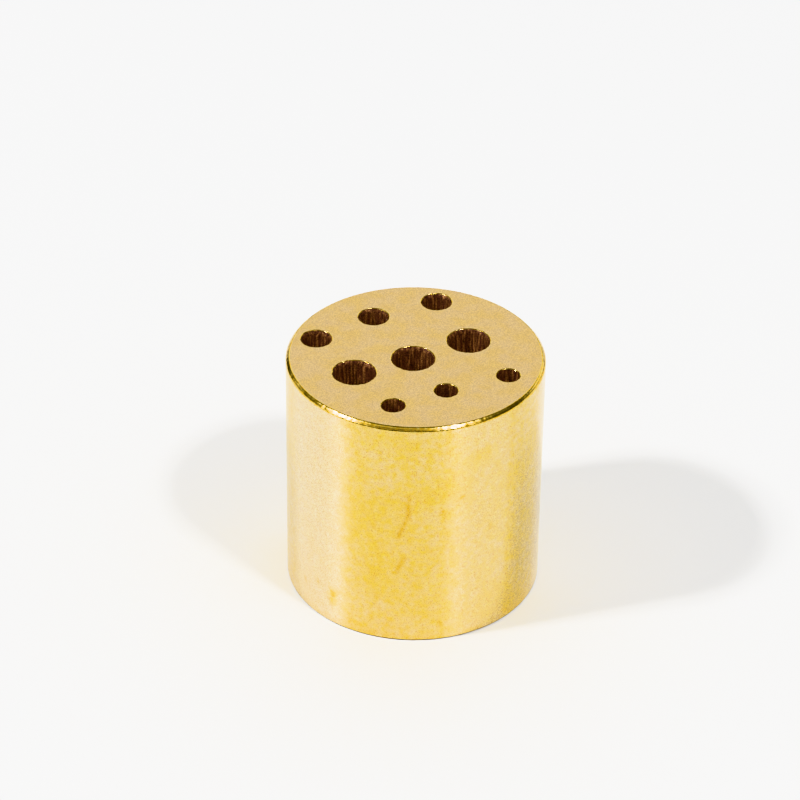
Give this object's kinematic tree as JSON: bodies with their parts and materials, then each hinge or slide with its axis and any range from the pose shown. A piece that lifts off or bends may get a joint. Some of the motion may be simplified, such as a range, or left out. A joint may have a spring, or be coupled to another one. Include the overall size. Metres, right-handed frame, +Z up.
{
  "type": "flower frog",
  "caption": "Small solid round metal block whose top face is drilled with rows of blind holes in different sizes, each holding a stem upright.",
  "frame": {"origin": "centre of the flat base that the block stands on", "axes": "+Z up, out of the drilled face; the rows of holes run along X, with the 2 mm row at +Y and the 1.8 mm row at -Y"},
  "size_m": [0.02, 0.02, 0.02],
  "materials": {
    "brass": "satin, finely blasted top; bright turned side; dark drilled holes"
  },
  "bodies": {
    "root": {"brass_block": "brass"}
  },
  "joints": []
}
